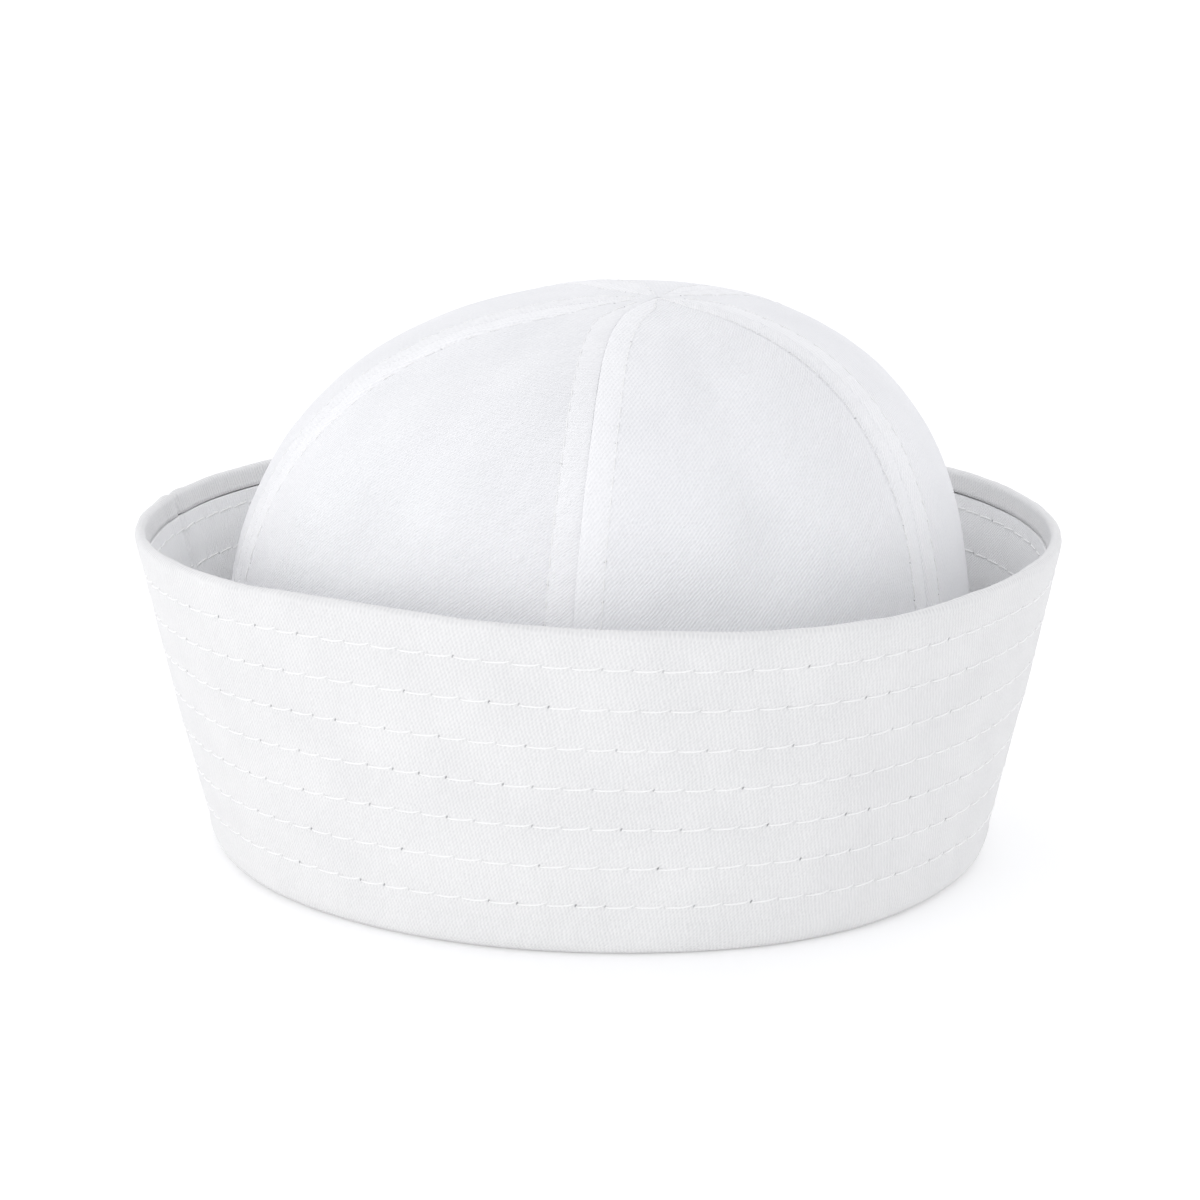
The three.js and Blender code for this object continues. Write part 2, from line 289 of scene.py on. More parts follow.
def twill(name, colour, shade, warp_share, stitch_length, hole_size, depth, band_tone):
    """White cotton twill: upright warp yarns crossed by the weave's diagonal, slubs, uneven colour,
    painted shade in the weave's valleys, and needle holes where stitches enter, painted dark as shade, some
    of them pulled more open than others.
    The depth is the weave's, in millimetres; band_tone brightens the cloth beside a seam."""
    material = bpy.data.materials.new(name)
    material.use_nodes = True
    nodes, links = material.node_tree.nodes, material.node_tree.links
    surface = nodes["Principled BSDF"]
    surface.inputs["Roughness"].default_value = 0.88
    surface.inputs["Specular IOR Level"].default_value = 0.25
    surface.inputs["Sheen Weight"].default_value = 0.08
    surface.inputs["Sheen Roughness"].default_value = 0.5

    def value(operation, first, second=0.0):
        return node_value(nodes, links, operation, first, second)

    def map_parts(name):
        uv_map = nodes.new("ShaderNodeUVMap")
        uv_map.uv_map = name
        parts = nodes.new("ShaderNodeSeparateXYZ")
        links.new(uv_map.outputs["UV"], parts.inputs[0])
        return uv_map.outputs["UV"], parts.outputs["X"], parts.outputs["Y"]

    def uneven(scale, detail):
        cloud = nodes.new("ShaderNodeTexNoise")
        cloud.inputs["Scale"].default_value = scale
        cloud.inputs["Detail"].default_value = detail
        links.new(cloth, cloud.inputs["Vector"])
        return value("SUBTRACT", cloud.outputs["Fac"], 0.5)

    def ribs(rib_angle, pitch):
        to_side = value("MULTIPLY", to_right, -math.sin(math.radians(rib_angle)) / pitch)
        to_top = value("MULTIPLY", upward, math.cos(math.radians(rib_angle)) / pitch)
        turns = value("ADD", value("ADD", to_side, to_top), wander)
        return value("SINE", value("MULTIPLY", turns, 2 * math.pi))

    cloth, to_right, upward = map_parts("cloth")
    wander = value("MULTIPLY", uneven(0.3, 2), 1.2)
    weave = value("ADD", value("MULTIPLY", ribs(WARP_ANGLE, WARP_PITCH), warp_share),
                  value("MULTIPLY", ribs(TWILL_ANGLE, TWILL_PITCH), 1 - warp_share))
    weave = value("ADD", weave, value("MULTIPLY", uneven(1.5, 3), 1.8))

    # A needle hole is a short slanting slit at every whole number of stitches.
    _, along, above = map_parts("stitches")
    from_hole = value("MULTIPLY", value("SUBTRACT", along, value("ROUND", along)), stitch_length)
    slit_length = value("ADD", value("MULTIPLY", from_hole, 0.5), value("MULTIPLY", above, 0.87))
    slit_width = value("SUBTRACT", value("MULTIPLY", from_hole, 0.87), value("MULTIPLY", above, 0.5))
    slit_length = value("ABSOLUTE", value("DIVIDE", slit_length, 0.42 * hole_size))
    slit_width = value("ABSOLUTE", value("DIVIDE", slit_width, 0.20 * hole_size))
    reach = value("ADD", value("POWER", slit_length, 2.0), value("POWER", slit_width, 2.0))
    chance = nodes.new("ShaderNodeTexWhiteNoise")
    chance.noise_dimensions = "1D"
    links.new(value("ROUND", along), chance.inputs["W"])
    opened = value("MAXIMUM", value("MULTIPLY", value("SUBTRACT", chance.outputs["Value"], 0.4), 1.7), 0.15)
    hole = value("MINIMUM", value("MAXIMUM", value("SUBTRACT", 1.5, value("SQRT", reach)), 0.0), 1.0)
    hole = value("MULTIPLY", hole, opened)

    bump = nodes.new("ShaderNodeBump")
    bump.inputs["Strength"].default_value = 0.8
    bump.inputs["Distance"].default_value = depth * MM
    links.new(value("SUBTRACT", weave, value("MULTIPLY", hole, 3.0)), bump.inputs["Height"])
    links.new(bump.outputs["Normal"], surface.inputs["Normal"])

    # The cloth between a crown seam and its topstitching is coloured a little brighter than the rest of the
    # gore.
    in_band = value("MULTIPLY", value("LESS_THAN", above, 0.0), band_tone)
    # The colour runs toward shade in the weave's valleys, as painted shade, and also varies at random over
    # the cloth.
    tone = value("ADD", value("MULTIPLY", weave, 0.30), value("MULTIPLY", uneven(0.06, 3), 0.5))
    tone = value("ADD", tone, in_band)
    tone = value("MINIMUM", value("MAXIMUM", value("ADD", tone, 0.6), 0.0), 1.0)
    colours = nodes.new("ShaderNodeMix")
    colours.data_type = "RGBA"
    colours.inputs[6].default_value = (*shade, 1)
    colours.inputs[7].default_value = (*colour, 1)
    links.new(tone, colours.inputs["Factor"])
    # The needle holes are painted dark grey: painted shade inside each hole.
    painted_hole_shade = nodes.new("ShaderNodeMix")
    painted_hole_shade.data_type = "RGBA"
    painted_hole_shade.inputs[7].default_value = (0.30, 0.30, 0.31, 1)
    links.new(hole, painted_hole_shade.inputs["Factor"])
    links.new(colours.outputs[2], painted_hole_shade.inputs[6])
    links.new(painted_hole_shade.outputs[2], surface.inputs["Base Color"])
    return material


wall_shares = [0.006, 0.02, 0.035, 0.96, 0.968]
for share in quilt_shares:
    for offset in (-2.2, -1.5, -1, -0.6, -0.3, 0, 0.3, 0.6, 1, 1.5, 2.2):
        wall_shares.append(share + offset / WALL_SPAN)
for share in np.append(quilt_shares, FIRST_ROW + ROW_STEP):
    wall_shares += [share - ROW_STEP * part for part in (0.33, 0.42, 0.5, 0.58, 0.67)]
wall_shares = np.array(sorted(share for share in wall_shares if 0 < share < 0.977))

cuff_angles = CUFF_SEAM + np.arange(CUFF_COLUMNS) * 360 / CUFF_COLUMNS
wall = np.array([on_wall(cuff_angles, wall_height(cuff_angles, share), 0) for share in wall_shares])
fold_radius = around_cuff(FOLD_RADIUS, cuff_angles)
fold = [on_ring(cuff_angles, fold_radius - FOLD_OUTER - inset, 0) for inset in (FOLD_FLAT, 1.2, 0)]
for turn in np.radians(np.arange(9, 91, 9)):
    fold.append(on_ring(cuff_angles, fold_radius - FOLD_OUTER * (1 - math.sin(turn)),
                        FOLD_HEIGHT * (1 - math.cos(turn))))
fold = np.array(fold)

# The rim: round the edge of the plies, and down inside it to the turned edge.
RIM_BEAD = 0.25            # the rolled edge is a little fuller than the flat plies
wall_top = wall[-1]
up = wall_top - wall[-8]
up /= np.linalg.norm(up, axis=1, keepdims=True)
inward = np.cross(up, np.roll(wall_top, -1, 0) - np.roll(wall_top, 1, 0))
inward /= np.linalg.norm(inward, axis=1, keepdims=True)
rim_reach = (PLY_SPACING + CUFF_PLY) / 2
rim_centre = wall_top + inward * rim_reach
rim = []
for turn in np.radians(np.arange(18, 181, 18)):
    reach = rim_reach + RIM_BEAD * math.sin(turn)
    rim.append(rim_centre - inward * reach * math.cos(turn) + up * reach * math.sin(turn))
for down in (0.25, 0.5, 0.75, 1):
    rim.append(rim_centre + inward * rim_reach - up * RIM_TURN * down)
rim = np.array(rim)

cuff_face = np.concatenate([fold, wall, rim])
face_shares = np.concatenate([np.full(len(fold), -1.0), wall_shares, np.full(len(rim), 2.0)])
relief = quilt_relief(face_shares, cuff_angles)
relief += 0.45 * soft_noise(cuff_face, 34, 1) + 0.20 * soft_noise(cuff_face, 13, 2)
relief += 0.10 * soft_noise(cuff_face * np.array([1, 1, 0.35]), 3.6, 3)
pucker_middle = on_ring(-7, 97, 5)
pucker_area = np.exp(-(((cuff_face - pucker_middle) / np.array([17, 30, 7])) ** 2).sum(2))
relief += 0.5 * pucker_area * soft_noise(cuff_face * np.array([1.6, 1.6, 0.7]), 5, 4)
columns_away = np.minimum(np.arange(CUFF_COLUMNS), CUFF_COLUMNS - np.arange(CUFF_COLUMNS))
relief += 0.35 * np.exp(-((columns_away - 4) / 3.0) ** 2) - 0.8 * np.exp(-(columns_away / 0.8) ** 2)
relief = np.maximum(relief, -1.1) * np.clip(cuff_face[..., 2] / 2.5, 0, 1)
cuff_face = cuff_face + face_normals(cuff_face, True) * relief[..., None]

between_plies = [cuff_face[-1] - inward * CUFF_PLY, rim_centre + inward * 0.2]
for height in (74, 60, 45, 30, 15, FOLD_HEIGHT):
    between_plies.append(on_wall(cuff_angles, height, CUFF_PLY))
between_plies.append(on_ring(cuff_angles, fold_radius - FOLD_OUTER, CUFF_PLY))
between_plies.append(on_ring(cuff_angles, fold_radius - FOLD_OUTER - FOLD_FLAT, CUFF_PLY))
cuff_grid = np.concatenate([cuff_face, np.array(between_plies)])
section_run = run_along(np.append(cuff_grid[:, 0], cuff_grid[:1, 0], axis=0))
ROUND_CUFF = 2 * math.pi * 105


def ring_cloth_map(columns, runs):
    return lambda r, c: np.stack([c * ROUND_CUFF / columns, runs[r]], -1)


def ring_stitch_map(columns, shares):
    """Stitches along the nearest row of quilting, and millimetres above that row."""
    angles = CUFF_SEAM + np.arange(columns + 1) * 360 / columns
    phases = np.array([quilt_phase(row, angles) for row in range(QUILT_ROWS)])
    next_shares = np.append(shares, shares[0])

    def stitch_map(face_row, corner_r, corner_c):
        face_share = (next_shares[face_row] + next_shares[face_row + 1]) / 2
        nearest = np.clip(np.round((FIRST_ROW - face_share) / ROW_STEP), 0, QUILT_ROWS - 1).astype(int)
        above = (next_shares[corner_r] - quilt_shares[nearest]) * WALL_SPAN
        return np.stack([phases[nearest, corner_c], above], -1)

    return stitch_map


cuff_shares = np.concatenate([face_shares, np.full(len(between_plies), 3.0)])
# The outer ply's twill is coloured darker than the crown's same twill: painted shade over the whole cuff.
cuff_twill = twill("cuff_twill", (0.885, 0.883, 0.878), (0.70, 0.70, 0.705), 0.55,
                   QUILT_STITCH, 0.9, 0.07, 0)
cuff_outer = cloth_piece("cuff_outer_ply", cuff_grid, True, ring_cloth_map(CUFF_COLUMNS, section_run),
                         ring_stitch_map(CUFF_COLUMNS, cuff_shares), cuff_twill)
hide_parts("cuff_outer")
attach(cuff_outer, "root")


# ---- Facing of the cuff ----
# The inner layer of the turned-up band, in the same twill. It lies against the outer ply from
# the bottom fold up to the rim's turned edge. The rows of quilting pull it in as well.
FACING_COLUMNS = 480
FACING_SHORT = PLY_SPACING + RIM_TURN + 0.35    # from the rim down to the facing's upper edge
facing_angles = CUFF_SEAM + np.arange(FACING_COLUMNS) * 360 / FACING_COLUMNS
facing_fold = around_cuff(FOLD_RADIUS, facing_angles)
facing_top = 1 - FACING_SHORT / WALL_SPAN
facing_shares = np.append(wall_shares[wall_shares < facing_top - 0.002], facing_top)


def facing_foot(depth):
    """The rows under the crown and round the fold of a face this deep inside the cuff's outer face."""
    rows = [on_ring(facing_angles, facing_fold - FOLD_OUTER - inset, depth) for inset in (FOLD_FLAT, 0)]
    for turn in np.radians(np.arange(18, 91, 18)):
        out = (FOLD_OUTER - depth) * math.sin(turn)
        height = depth + (FOLD_HEIGHT - depth) * (1 - math.cos(turn))
        rows.append(on_ring(facing_angles, facing_fold - FOLD_OUTER + out, height))
    return rows


def facing_wall(depth, shares):
    return [on_wall(facing_angles, wall_height(facing_angles, share), depth) for share in shares]


hidden_shares = np.linspace(0.1, facing_shares[-1], 8)
facing_back = np.array(facing_foot(PLY_SPACING) + facing_wall(PLY_SPACING, hidden_shares))
FACING_DEPTH = PLY_SPACING + CUFF_PLY
facing_face = np.array(facing_foot(FACING_DEPTH) + facing_wall(FACING_DEPTH, facing_shares))
foot_rows = len(facing_face) - len(facing_shares)
facing_face_shares = np.concatenate([np.full(foot_rows, -1.0), facing_shares])
relief = 0.8 * quilt_relief(facing_face_shares, facing_angles)
relief += 0.40 * soft_noise(facing_face, 30, 11) + 0.14 * soft_noise(facing_face, 9, 12)
columns_away = np.minimum(np.arange(FACING_COLUMNS), FACING_COLUMNS - np.arange(FACING_COLUMNS))
relief += 0.45 * np.exp(-((columns_away - 3) / 2.2) ** 2) - 0.8 * np.exp(-(columns_away / 0.7) ** 2)
relief = np.maximum(relief, -1.0) * np.clip((facing_face[..., 2] - 3) / 6, 0, 1)
facing_face = facing_face - face_normals(facing_face, True) * relief[..., None]
facing_grid = np.concatenate([facing_back, facing_face[::-1]])
facing_run = run_along(np.append(facing_grid[:, 0], facing_grid[:1, 0], axis=0))
facing_map_shares = np.concatenate([np.full(len(facing_back), 3.0), facing_face_shares[::-1]])
# The facing's twill is coloured brighter than the outer ply's same twill: painted light in the shaded
# inside of the cuff.
facing_twill = twill("facing_twill", (0.97, 0.97, 0.97), (0.92, 0.925, 0.93), 0.55,
                     QUILT_STITCH, 0.9, 0.07, 0)
cuff_facing = cloth_piece("cuff_facing_ply", facing_grid, True, ring_cloth_map(FACING_COLUMNS, facing_run),
                          ring_stitch_map(FACING_COLUMNS, facing_map_shares), facing_twill)
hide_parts("cuff_facing")
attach(cuff_facing, "root")


# ---- Quilting stitches ----
# Seven rows of lockstitch in white cotton thread, seen on both faces of the cuff. Each stitch
# lies in the groove that it pulls, and dives into a needle hole at both of its ends.
THREAD_RADIUS = 0.24
THREAD_DEPTH = 0.14        # from the cloth's face in to the middle of the thread


def stitch_tree():
    """Nodes that lay equal stitches along a path, whose points carry the way out of the cloth."""
    tree = bpy.data.node_groups.new("stitches_along_path", "GeometryNodeTree")
    tree.interface.new_socket("Path", in_out="INPUT", socket_type="NodeSocketGeometry")
    tree.interface.new_socket("Stitches", in_out="INPUT", socket_type="NodeSocketInt")
    for name in ("Stitch Length", "Thread Radius", "Lift", "Hook", "Unevenness"):
        tree.interface.new_socket(name, in_out="INPUT", socket_type="NodeSocketFloat")
    tree.interface.new_socket("Seed", in_out="INPUT", socket_type="NodeSocketInt")
    tree.interface.new_socket("Thread", in_out="INPUT", socket_type="NodeSocketMaterial")
    tree.interface.new_socket("Sewing", in_out="OUTPUT", socket_type="NodeSocketGeometry")
    nodes, links = tree.nodes, tree.links
    given = nodes.new("NodeGroupInput").outputs

    def value(operation, first, second=0.0):
        return node_value(nodes, links, operation, first, second)

    def step(kind, **wires):
        node = nodes.new(kind)
        for name, wire in wires.items():
            socket = node.inputs[name.replace("_", " ")]
            if isinstance(wire, bpy.types.NodeSocket):
                links.new(wire, socket)
            else:
                socket.default_value = wire
        return node

    # One stitch along X: it arches a little, hooks up at its right end, and tapers at both ends.
    half = value("MULTIPLY", given["Stitch Length"], 0.5)
    left_end = step("ShaderNodeCombineXYZ", X=value("MULTIPLY", half, -1.0)).outputs[0]
    right_end = step("ShaderNodeCombineXYZ", X=half).outputs[0]
    thread = step("GeometryNodeCurvePrimitiveLine", Start=left_end, End=right_end).outputs["Curve"]
    thread = step("GeometryNodeResampleCurve", Curve=thread, Count=9).outputs["Curve"]
    along = nodes.new("GeometryNodeSplineParameter").outputs["Factor"]
    from_middle = value("ABSOLUTE", value("SUBTRACT", value("MULTIPLY", along, 2.0), 1.0))
    end = value("POWER", from_middle, 5.0)
    height = value("MULTIPLY", value("SUBTRACT", 0.6, value("MULTIPLY", end, 1.6)), given["Lift"])
    hook = value("MULTIPLY", value("SUBTRACT", value("POWER", along, 5.0), 0.25), given["Hook"])
    bend = step("ShaderNodeCombineXYZ", Y=hook, Z=height).outputs[0]
    thread = step("GeometryNodeSetPosition", Geometry=thread, Offset=bend).outputs["Geometry"]
    ring = step("GeometryNodeCurvePrimitiveCircle", Resolution=6, Radius=given["Thread Radius"])
    taper = value("SUBTRACT", 1.0, value("MULTIPLY", end, 0.5))
    stitch = step("GeometryNodeCurveToMesh", Curve=thread, Profile_Curve=ring.outputs["Curve"],
                  Scale=taper, Fill_Caps=True)

    # The path, one point for each stitch, and the turn that lays a stitch on the cloth there.
    path = step("GeometryNodeMeshToCurve", Mesh=given["Path"]).outputs["Curve"]
    places = step("GeometryNodeCurveToPoints", Curve=path, Count=given["Stitches"])
    way_out = nodes.new("GeometryNodeInputNamedAttribute")
    way_out.data_type = "FLOAT_VECTOR"
    way_out.inputs["Name"].default_value = "way_out"
    turned = step("FunctionNodeAlignRotationToVector", Vector=places.outputs["Tangent"])
    turned.axis = "X"
    upright = step("FunctionNodeAlignRotationToVector", Rotation=turned.outputs["Rotation"],
                   Vector=way_out.outputs["Attribute"])
    upright.axis = "Z"
    upright.pivot_axis = "X"
    chance = nodes.new("FunctionNodeRandomValue")
    links.new(value("MULTIPLY", given["Unevenness"], -1.0), chance.inputs[2])
    links.new(given["Unevenness"], chance.inputs[3])
    links.new(given["Seed"], chance.inputs["Seed"])
    askew = step("ShaderNodeCombineXYZ", Z=chance.outputs[1]).outputs[0]
    laid = step("FunctionNodeRotateRotation", Rotation=upright.outputs["Rotation"],
                Rotate_By=step("FunctionNodeEulerToRotation", Euler=askew).outputs["Rotation"])
    laid.rotation_space = "LOCAL"
    sewing = step("GeometryNodeInstanceOnPoints", Points=places.outputs["Points"],
                  Instance=stitch.outputs["Mesh"], Rotation=laid.outputs["Rotation"])
    sewing = step("GeometryNodeRealizeInstances", Geometry=sewing.outputs["Instances"])
    sewing = step("GeometryNodeSetMaterial", Geometry=sewing.outputs["Geometry"], Material=given["Thread"])
    links.new(sewing.outputs["Geometry"], nodes.new("NodeGroupOutput").inputs["Sewing"])
    return tree


stitches_along_path = stitch_tree()


def sew(name, rows, settings):
    """Sews rows of stitches, and joins them in one plain mesh. A row is its path, in millimetres
    from the middle of its first stitch to that of its last, the ways out there, and its count."""
    sockets = {item.name: item.identifier for item in stitches_along_path.interface.items_tree}
    joined = bmesh.new()
    for number, (path, ways_out, stitch_count) in enumerate(rows):
        guide_mesh = bpy.data.meshes.new(name + "_path")
        corners = ((path + CAP_SHIFT) * MM).tolist()
        guide_mesh.from_pydata(corners, [(i, i + 1) for i in range(len(corners) - 1)], [])
        way_out = guide_mesh.attributes.new("way_out", "FLOAT_VECTOR", "POINT")
        way_out.data.foreach_set("vector", ways_out.astype(np.float32).ravel())
        guide = bpy.data.objects.new(name + "_path", guide_mesh)
        bpy.context.scene.collection.objects.link(guide)
        laying = guide.modifiers.new("stitches", "NODES")
        laying.node_group = stitches_along_path
        laying[sockets["Stitches"]] = stitch_count
        laying[sockets["Seed"]] = number
        for setting, amount in settings.items():
            laying[sockets[setting]] = amount
        evaluated = guide.evaluated_get(bpy.context.evaluated_depsgraph_get())
        sewn = bpy.data.meshes.new_from_object(evaluated)
        joined.from_mesh(sewn)
        bpy.data.objects.remove(guide)
        bpy.data.meshes.remove(sewn)
    mesh = bpy.data.meshes.new(name)
    joined.to_mesh(mesh)
    joined.free()
    mesh.shade_smooth()
    mesh.materials.append(settings["Thread"])
    piece = bpy.data.objects.new(name, mesh)
    bpy.context.scene.collection.objects.link(piece)
    return piece


def thread_material(name, colour):
    """Spun cotton thread: slightly shiny, with the twist of its plies and loose fibres."""
    material = bpy.data.materials.new(name)
    material.use_nodes = True
    nodes, links = material.node_tree.nodes, material.node_tree.links
    surface = nodes["Principled BSDF"]
    surface.inputs["Roughness"].default_value = 0.6
    surface.inputs["Sheen Weight"].default_value = 0.15
    place = nodes.new("ShaderNodeTexCoord")
    twist = nodes.new("ShaderNodeTexWave")
    twist.bands_direction = "DIAGONAL"
    twist.inputs["Scale"].default_value = 900
    twist.inputs["Distortion"].default_value = 3
    links.new(place.outputs["Object"], twist.inputs["Vector"])
    bump = nodes.new("ShaderNodeBump")
    bump.inputs["Strength"].default_value = 0.5
    bump.inputs["Distance"].default_value = 0.04 * MM
    links.new(twist.outputs["Fac"], bump.inputs["Height"])
    links.new(bump.outputs["Normal"], surface.inputs["Normal"])
    # The thread is painted a little darker in the twist's grooves: painted shade.
    colours = nodes.new("ShaderNodeMix")
    colours.data_type = "RGBA"
    colours.inputs[6].default_value = (*(0.96 * part for part in colour), 1)
    colours.inputs[7].default_value = (*colour, 1)
    links.new(twist.outputs["Fac"], colours.inputs["Factor"])
    links.new(colours.outputs[2], surface.inputs["Base Color"])
    return material


def quilt_path(row, grid, angles, inside):
    """One row's path over the rows of cloth beside it, from its first stitch to its last."""
    count = quilt_counts[row]
    phases = quilt_phase(row, np.append(angles, angles[0] + 360))
    middles = math.ceil(phases[0]) + 0.5 + np.arange(0, count - 1 + 0.01, 0.25)
    middles = np.where(middles > phases[-1], middles - count, middles)
    line = np.append(grid, grid[:1], axis=0)
    path = np.stack([np.interp(middles, phases, line[:, axis]) for axis in range(3)], -1)
    out = path * np.array([1, 1, 0])
    out /= np.linalg.norm(out, axis=1, keepdims=True) * (-1 if inside else 1)
    return path - out * THREAD_DEPTH, out, count


quilt_thread = thread_material("quilting_thread", (0.96, 0.96, 0.955))
outer_rows, facing_rows = [], []
for row, share in enumerate(quilt_shares):
    line = cuff_face[len(fold) + np.argmin(np.abs(wall_shares - share))]
    outer_rows.append(quilt_path(row, line, cuff_angles, False))
    if share < facing_top:
        line = facing_face[foot_rows + np.argmin(np.abs(facing_shares - share))]
        facing_rows.append(quilt_path(row, line, facing_angles, True))
quilt_settings = {"Stitch Length": 6.5 * MM, "Thread Radius": THREAD_RADIUS * MM, "Lift": 0.16 * MM,
                  "Hook": 0.7 * MM, "Unevenness": 0.03, "Thread": quilt_thread}
for name, rows, node in (("quilting_outside", outer_rows, "cuff_outer"),
                         ("quilting_inside", facing_rows, "cuff_facing")):
    quilting = sew(name, rows, quilt_settings)
    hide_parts(node)
    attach(quilting, "root")


# ---- Crown ----
# Five gores of the same twill, sewn edge to edge and pressed open inside, so each seam is a
# crisp valley in a slightly raised band, with a row of topstitching along both its sides.
CROWN_PLY = 1.5
CROWN_RADIUS = 92.8
CROWN_HEIGHT = 138.2
CROWN_OFFSET = np.array([-1.3, 0, 0])
CROWN_LEAN = np.array([8.9, 0, 0])
LEAN_POWER = 3
DOME_RISE = 4
DOME_ROUND = 2.05
CROWN_FOOT = 2 * PLY_SPACING + 0.1
FOOT_INSET = 0.6
HEM_BLEND = 36
TIP_RIGHT = 2.7
TIP_FORWARD = 5
GORE_PUFF = 1.4
GORE_ROWS = 150
CLOSED_TIP = 0.9997
BAND_WIDTH = 6.6           # from a seam to its topstitching, low down and at the top
BAND_TOP_WIDTH = 5.2
TOP_STITCH = 4.6
BAND_RAISED = 0.22         # the pressed-open seam allowance lifts the cloth over it
SEAM_VALLEY = 0.32
SEWN_FROM = 40             # the topstitching below this height is hidden in the cuff
SEAM_TURN = 6
SEAMS = [("front_right", -4, -41), ("right", 60, 84), ("back_right", 134, 142),
         ("back_left", 207, 213), ("front_left", 284, 285)]
DENTS = [(-33, 126, -40, 92, 11, 2.0), (20, 128, 27, 96, 9, 2.4), (28, 84, 12, 78, 9, 1.2),
         (50, 92, 46, 84, 10, -1.0), (-62, 104, -58, 94, 10, -1.0)]


def dent_depth(angles, heights):
    """How far soft dents draw the crown in: each is a valley from one place to another."""
    arc = math.radians(1) * CROWN_RADIUS
    place = np.stack([(np.mod(angles + 180, 360) - 180) * arc, heights], -1)
    depth = np.zeros(heights.shape)
    for start_angle, start_height, end_angle, end_height, width, deep in DENTS:
        start = np.array([start_angle * arc, start_height])
        span = np.array([end_angle * arc, end_height]) - start
        share = np.clip(((place - start) @ span) / (span @ span), 0, 1)
        away = np.linalg.norm(place - start - share[..., None] * span, axis=-1)
        depth += deep * np.exp(-(away / width) ** 2)
    return depth


def crown_point(around, rise, across):
    """A point of the crown's outer face: degrees round it, rise from foot to tip, and the share
    of the way across the gore, whose middle puffs out from its seams."""
    climb = rise * math.pi / 2
    turn = np.radians(around)
    over = np.sin(climb) ** 8
    x = np.sin(turn) * np.cos(climb) + math.radians(TIP_RIGHT) * over
    y = -np.cos(turn) * np.cos(climb) - math.radians(TIP_FORWARD) * over
    level = np.sin(climb) / np.sqrt(x ** 2 + y ** 2 + np.sin(climb) ** 2)
    angle = np.degrees(np.arctan2(x, -y))
    height = CROWN_HEIGHT * level
    puff = GORE_PUFF * (np.sin(math.pi * across) ** 0.7 - 0.5) * np.clip((1 - rise) / 0.08, 0, 1)
    radius = CROWN_RADIUS - dent_depth(angle, height) + puff
    radius *= (1 - level ** DOME_RISE) ** (1 / DOME_ROUND)
    centre = CROWN_OFFSET + CROWN_LEAN * (level ** LEAN_POWER)[..., None]
    dome = on_ring(angle, radius, height) + centre
    foot = on_ring(angle, around_cuff(FOLD_RADIUS, angle) - FOLD_OUTER - FOOT_INSET, height)
    blend = np.clip((height - CROWN_FOOT) / (HEM_BLEND - CROWN_FOOT), 0, 1)
    blend = (blend * blend * (3 - 2 * blend))[..., None]
    return foot * (1 - blend) + dome * blend


# The crown's twill is coloured brighter than the cuff's same twill: painted light over the crown.
crown_twill = twill("crown_twill", (0.96, 0.96, 0.97), (0.79, 0.795, 0.815), 0.3,
                    TOP_STITCH, 0.7, 0.08, 0.25)
foot_rise = math.asin(CROWN_FOOT / CROWN_HEIGHT) * 2 / math.pi
fine_rises = foot_rise + (CLOSED_TIP - foot_rise) * np.linspace(0, 1, 1201)
fine_run = run_along(crown_point(np.full(1201, 30.0), fine_rises, np.full(1201, 0.5)))
gore_runs = np.linspace(0, fine_run[-1], GORE_ROWS)
gore_rises = np.interp(gore_runs, fine_run, fine_rises)
BAND_PARTS = np.array([0, 0.02, 0.06, 0.12, 0.22, 0.35, 0.5, 0.65, 0.77, 0.86, 0.93, 1,
                       1.07, 1.14, 1.24, 1.4, 1.6])
INNER_COLUMNS = 64
# A gore's soft folds and gathers: the gore, the side, the rises it lies between, and its depth.
FOLDS = [("front_right", "right", 0.42, 0.94, 0.8), ("front_left", "left", 0.50, 0.94, 0.7)]
GATHERS = [("front_right", "left", 0.80, 0.95, 0.22), ("front_right", "right", 0.60, 0.76, 0.16),
           ("right", "left", 0.56, 0.74, 0.24)]
topstitch_rows = []

